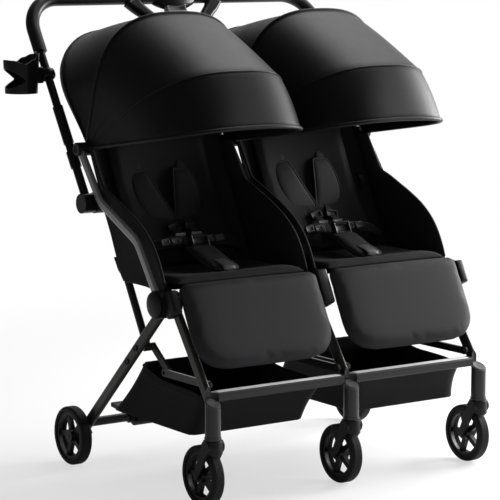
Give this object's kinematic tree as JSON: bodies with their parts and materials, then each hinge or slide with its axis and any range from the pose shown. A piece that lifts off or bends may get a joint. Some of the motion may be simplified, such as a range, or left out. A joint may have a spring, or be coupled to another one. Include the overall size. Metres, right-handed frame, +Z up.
{
  "type": "side by side double stroller",
  "caption": "Folding side by side stroller with twin seats, canopies, leg rests and baskets on a swivel caster frame with a full width handle.",
  "frame": {"origin": "on the ground, in the middle between the front and rear axles and between the two seats", "axes": "+Z up, +Y towards the handle, so the seats face -Y, and +X towards the occupants' left side"},
  "size_m": [0.849, 0.7022, 0.9794],
  "materials": {
    "frame_metal": "satin gunmetal paint",
    "black_plastic": "fine moulded grain",
    "gloss_black": "smooth",
    "bright_metal": "brushed",
    "button": "smooth grey",
    "grip": "stitched soft grip",
    "seat_cloth": "tight woven",
    "leg_rest_cloth": "smooth coated cloth",
    "canopy_cloth": "smooth woven",
    "basket_cloth": "open mesh",
    "strap_cloth": "webbing",
    "tyre": "moulded foam rubber"
  },
  "bodies": {
    "frame": {"rear_leg_left": "frame_metal", "rear_leg_right": "frame_metal", "rear_leg_middle": "frame_metal", "main_hinge_left": "black_plastic", "main_hinge_right": "black_plastic", "main_hinge_middle": "black_plastic", "seat_rail_left": "frame_metal", "seat_rail_right": "frame_metal", "seat_rail_middle": "frame_metal", "back_tubes": "frame_metal", "fold_pods": "black_plastic", "link_pins": "bright_metal", "rear_crossbar": "frame_metal", "wheel_brackets": "black_plastic", "brake_housing": "black_plastic", "seat_left": "seat_cloth", "seat_right": "seat_cloth", "buckles": "black_plastic", "canopy_rear_left": "canopy_cloth", "canopy_rear_right": "canopy_cloth", "canopy_pivots": "black_plastic", "basket_left": "basket_cloth", "basket_right": "basket_cloth"},
    "handle": {"handle_tube_left": "frame_metal", "handle_tube_right": "frame_metal", "handle_bar": "grip", "handle_yoke": "black_plastic", "release_pod": "black_plastic", "cup_holder": "gloss_black"},
    "release": {"release_button": "button"},
    "front_frame": {"front_leg_left": "frame_metal", "front_leg_middle": "frame_metal", "front_leg_right": "frame_metal", "caster_sockets": "black_plastic", "front_bars": "bright_metal"},
    "brace_rails": {"brace_rails": "frame_metal"},
    "brace_links": {"brace_links": "frame_metal"},
    "brake": {"brake_pedal": "black_plastic"},
    "canopy_left": {"canopy_front_left": "canopy_cloth"},
    "canopy_right": {"canopy_front_right": "canopy_cloth"},
    "back_left": {"backrest_left": "seat_cloth", "harness_left": "strap_cloth"},
    "back_right": {"backrest_right": "seat_cloth", "harness_right": "strap_cloth"},
    "leg_rest_left": {"leg_rest_left": "leg_rest_cloth"},
    "leg_rest_right": {"leg_rest_right": "leg_rest_cloth"},
    "rear_wheel_left": {"rear_rim_left": "black_plastic", "rear_tyre_left": "tyre"},
    "rear_wheel_right": {"rear_rim_right": "black_plastic", "rear_tyre_right": "tyre"},
    "caster_left": {"caster_fork_left": "black_plastic"},
    "front_wheel_left": {"front_rim_left": "black_plastic", "front_tyre_left": "tyre"},
    "caster_middle": {"caster_fork_middle": "black_plastic"},
    "front_wheel_middle": {"front_rim_middle": "black_plastic", "front_tyre_middle": "tyre"},
    "caster_right": {"caster_fork_right": "black_plastic"},
    "front_wheel_right": {"front_rim_right": "black_plastic", "front_tyre_right": "tyre"}
  },
  "joints": [
    {"name": "fold", "type": "hinge", "parent": "frame", "child": "handle", "pos_m": [0, 0.152, 0.558], "axis": [-1, 0, 0], "range_deg": [0, 120], "deforming": ["basket_left", "basket_right"]},
    {"name": "front_fold", "type": "hinge", "parent": "frame", "child": "front_frame", "pos_m": [0, -0.118, 0.385], "axis": [1, 0, 0], "range_deg": [0, 40], "deforming": ["basket_left", "basket_right"]},
    {"name": "brace_link_fold", "type": "hinge", "parent": "frame", "child": "brace_links", "pos_m": [0, -0.0075, 0.27986], "axis": [1, 0, 0], "range_deg": [0, 105.8]},
    {"name": "brace_rail_fold", "type": "hinge", "parent": "front_frame", "child": "brace_rails", "pos_m": [0, -0.22564, 0.23719], "axis": [-1, 0, 0], "range_deg": [0, 27.9]},
    {"name": "release_press", "type": "slide", "parent": "handle", "child": "release", "axis": [0, 0.5299, 0.848], "range_m": [0, 0.005], "stiffness_N_per_m": 600},
    {"name": "brake_press", "type": "hinge", "parent": "frame", "child": "brake", "pos_m": [0, 0.2154, 0.09223], "axis": [-1, 0, 0], "range_deg": [0, 18]},
    {"name": "canopy_left_fold", "type": "hinge", "parent": "frame", "child": "canopy_left", "pos_m": [-0.182, 0.184, 0.666], "axis": [-1, 0, 0], "range_deg": [0, 55]},
    {"name": "recline_left", "type": "hinge", "parent": "frame", "child": "back_left", "pos_m": [-0.182, 0.05889, 0.42128], "axis": [1, 0, 0], "range_deg": [-40, 0]},
    {"name": "leg_rest_left_lift", "type": "hinge", "parent": "frame", "child": "leg_rest_left", "pos_m": [-0.182, -0.14578, 0.43872], "axis": [-1, 0, 0], "range_deg": [0, 60]},
    {"name": "rear_spin_left", "type": "hinge", "parent": "frame", "child": "rear_wheel_left", "pos_m": [-0.368, 0.222, 0.0615], "axis": [1, 0, 0], "continuous": true},
    {"name": "canopy_right_fold", "type": "hinge", "parent": "frame", "child": "canopy_right", "pos_m": [0.182, 0.184, 0.666], "axis": [-1, 0, 0], "range_deg": [0, 55]},
    {"name": "recline_right", "type": "hinge", "parent": "frame", "child": "back_right", "pos_m": [0.182, 0.05889, 0.42128], "axis": [1, 0, 0], "range_deg": [-40, 0]},
    {"name": "leg_rest_right_lift", "type": "hinge", "parent": "frame", "child": "leg_rest_right", "pos_m": [0.182, -0.14578, 0.43872], "axis": [-1, 0, 0], "range_deg": [0, 60]},
    {"name": "rear_spin_right", "type": "hinge", "parent": "frame", "child": "rear_wheel_right", "pos_m": [0.368, 0.222, 0.0615], "axis": [1, 0, 0], "continuous": true},
    {"name": "swivel_left", "type": "hinge", "parent": "front_frame", "child": "caster_left", "pos_m": [-0.334, -0.256, 0.137], "axis": [0, 0, 1], "continuous": true},
    {"name": "front_spin_left", "type": "hinge", "parent": "caster_left", "child": "front_wheel_left", "pos_m": [-0.334, -0.222, 0.06], "axis": [1, 0, 0], "continuous": true},
    {"name": "swivel_middle", "type": "hinge", "parent": "front_frame", "child": "caster_middle", "pos_m": [0, -0.256, 0.137], "axis": [0, 0, 1], "continuous": true},
    {"name": "front_spin_middle", "type": "hinge", "parent": "caster_middle", "child": "front_wheel_middle", "pos_m": [0, -0.222, 0.06], "axis": [1, 0, 0], "continuous": true},
    {"name": "swivel_right", "type": "hinge", "parent": "front_frame", "child": "caster_right", "pos_m": [0.334, -0.256, 0.137], "axis": [0, 0, 1], "continuous": true},
    {"name": "front_spin_right", "type": "hinge", "parent": "caster_right", "child": "front_wheel_right", "pos_m": [0.334, -0.222, 0.06], "axis": [1, 0, 0], "continuous": true}
  ],
  "couplings": [
    {"joint": "front_fold", "follows": "fold", "ratio": 0.33333},
    {"joint": "brace_link_fold", "follows": "fold", "ratio": 0.88167},
    {"joint": "brace_rail_fold", "follows": "fold", "ratio": 0.2325}
  ]
}
